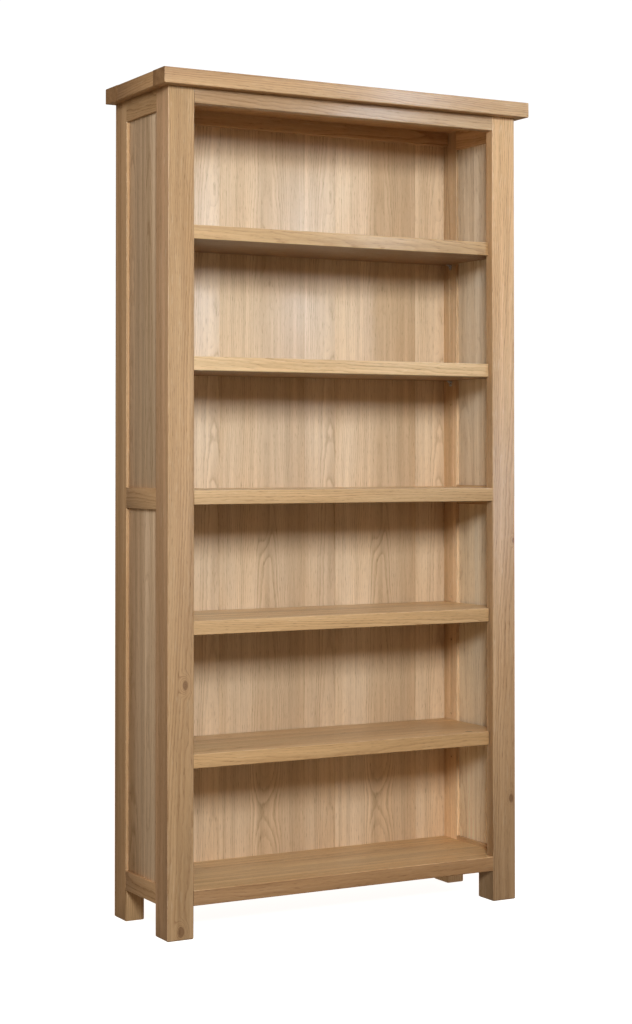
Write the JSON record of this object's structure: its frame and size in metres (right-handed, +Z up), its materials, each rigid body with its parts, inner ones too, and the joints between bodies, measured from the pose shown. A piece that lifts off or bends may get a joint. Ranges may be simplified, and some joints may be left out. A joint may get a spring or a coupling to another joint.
{
  "type": "bookcase",
  "caption": "Tall open oak bookcase with framed side panels, an overhanging top, fixed middle and bottom shelves and adjustable shelves resting on metal pegs.",
  "frame": {"origin": "centre of the footprint of the whole object, on the floor", "axes": "+Z up, front faces -Y, +X to the right as seen from the front"},
  "size_m": [0.906, 0.307, 1.8],
  "materials": {
    "oak_frame": "satin oiled oak, solid",
    "oak_panel": "satin oiled oak, pale",
    "oak_top": "satin oiled oak, solid",
    "oak_shelf": "satin oiled oak, solid",
    "peg_metal": "nickel plated",
    "screw_metal": "zinc plated"
  },
  "bodies": {
    "carcass": {"post_front_left": "oak_frame", "post_front_right": "oak_frame", "post_rear_left": "oak_frame", "post_rear_right": "oak_frame", "side_top_rail_left": "oak_frame", "side_top_rail_right": "oak_frame", "side_middle_rail_left": "oak_frame", "side_middle_rail_right": "oak_frame", "side_bottom_rail_left": "oak_frame", "side_bottom_rail_right": "oak_frame", "side_panel_upper_left": "oak_panel", "side_panel_upper_right": "oak_panel", "side_panel_lower_left": "oak_panel", "side_panel_lower_right": "oak_panel", "front_top_rail": "oak_frame", "rear_top_rail": "oak_frame", "back_board_1": "oak_panel", "back_board_2": "oak_panel", "back_board_3": "oak_panel", "back_board_4": "oak_panel", "top_front_strip_board": "oak_top", "top_rear_strip_board": "oak_top", "top_side_strip_left": "oak_top", "top_side_strip_right": "oak_top", "top_field_board": "oak_top", "top_screws": "screw_metal", "middle_shelf": "oak_shelf", "bottom_shelf": "oak_shelf"},
    "shelf_1_board": {"shelf_1": "oak_shelf"},
    "shelf_2_board": {"shelf_2": "oak_shelf"},
    "shelf_4_board": {"shelf_4": "oak_shelf"},
    "shelf_5_board": {"shelf_5": "oak_shelf"},
    "peg_1_front_left_body": {"peg_1_front_left": "peg_metal"},
    "peg_1_front_right_body": {"peg_1_front_right": "peg_metal"},
    "peg_1_rear_left_body": {"peg_1_rear_left": "peg_metal"},
    "peg_1_rear_right_body": {"peg_1_rear_right": "peg_metal"},
    "peg_2_front_left_body": {"peg_2_front_left": "peg_metal"},
    "peg_2_front_right_body": {"peg_2_front_right": "peg_metal"},
    "peg_2_rear_left_body": {"peg_2_rear_left": "peg_metal"},
    "peg_2_rear_right_body": {"peg_2_rear_right": "peg_metal"},
    "peg_4_front_left_body": {"peg_4_front_left": "peg_metal"},
    "peg_4_front_right_body": {"peg_4_front_right": "peg_metal"},
    "peg_4_rear_left_body": {"peg_4_rear_left": "peg_metal"},
    "peg_4_rear_right_body": {"peg_4_rear_right": "peg_metal"},
    "peg_5_front_left_body": {"peg_5_front_left": "peg_metal"},
    "peg_5_front_right_body": {"peg_5_front_right": "peg_metal"},
    "peg_5_rear_left_body": {"peg_5_rear_left": "peg_metal"},
    "peg_5_rear_right_body": {"peg_5_rear_right": "peg_metal"}
  },
  "joints": [
    {"name": "shelf_1_lift", "type": "slide", "parent": "carcass", "child": "shelf_1_board", "axis": [0, 0, 1], "range_m": [0, 0.2]},
    {"name": "shelf_2_lift", "type": "slide", "parent": "carcass", "child": "shelf_2_board", "axis": [0, 0, 1], "range_m": [0, 0.2]},
    {"name": "shelf_4_lift", "type": "slide", "parent": "carcass", "child": "shelf_4_board", "axis": [0, 0, 1], "range_m": [0, 0.2]},
    {"name": "shelf_5_lift", "type": "slide", "parent": "carcass", "child": "shelf_5_board", "axis": [0, 0, 1], "range_m": [0, 0.2]},
    {"name": "peg_1_front_left_pull", "type": "slide", "parent": "carcass", "child": "peg_1_front_left_body", "axis": [1, 0, 0], "range_m": [0, 0.01]},
    {"name": "peg_1_front_right_pull", "type": "slide", "parent": "carcass", "child": "peg_1_front_right_body", "axis": [-1, 0, 0], "range_m": [0, 0.01]},
    {"name": "peg_1_rear_left_pull", "type": "slide", "parent": "carcass", "child": "peg_1_rear_left_body", "axis": [1, 0, 0], "range_m": [0, 0.01]},
    {"name": "peg_1_rear_right_pull", "type": "slide", "parent": "carcass", "child": "peg_1_rear_right_body", "axis": [-1, 0, 0], "range_m": [0, 0.01]},
    {"name": "peg_2_front_left_pull", "type": "slide", "parent": "carcass", "child": "peg_2_front_left_body", "axis": [1, 0, 0], "range_m": [0, 0.01]},
    {"name": "peg_2_front_right_pull", "type": "slide", "parent": "carcass", "child": "peg_2_front_right_body", "axis": [-1, 0, 0], "range_m": [0, 0.01]},
    {"name": "peg_2_rear_left_pull", "type": "slide", "parent": "carcass", "child": "peg_2_rear_left_body", "axis": [1, 0, 0], "range_m": [0, 0.01]},
    {"name": "peg_2_rear_right_pull", "type": "slide", "parent": "carcass", "child": "peg_2_rear_right_body", "axis": [-1, 0, 0], "range_m": [0, 0.01]},
    {"name": "peg_4_front_left_pull", "type": "slide", "parent": "carcass", "child": "peg_4_front_left_body", "axis": [1, 0, 0], "range_m": [0, 0.01]},
    {"name": "peg_4_front_right_pull", "type": "slide", "parent": "carcass", "child": "peg_4_front_right_body", "axis": [-1, 0, 0], "range_m": [0, 0.01]},
    {"name": "peg_4_rear_left_pull", "type": "slide", "parent": "carcass", "child": "peg_4_rear_left_body", "axis": [1, 0, 0], "range_m": [0, 0.01]},
    {"name": "peg_4_rear_right_pull", "type": "slide", "parent": "carcass", "child": "peg_4_rear_right_body", "axis": [-1, 0, 0], "range_m": [0, 0.01]},
    {"name": "peg_5_front_left_pull", "type": "slide", "parent": "carcass", "child": "peg_5_front_left_body", "axis": [1, 0, 0], "range_m": [0, 0.01]},
    {"name": "peg_5_front_right_pull", "type": "slide", "parent": "carcass", "child": "peg_5_front_right_body", "axis": [-1, 0, 0], "range_m": [0, 0.01]},
    {"name": "peg_5_rear_left_pull", "type": "slide", "parent": "carcass", "child": "peg_5_rear_left_body", "axis": [1, 0, 0], "range_m": [0, 0.01]},
    {"name": "peg_5_rear_right_pull", "type": "slide", "parent": "carcass", "child": "peg_5_rear_right_body", "axis": [-1, 0, 0], "range_m": [0, 0.01]}
  ]
}
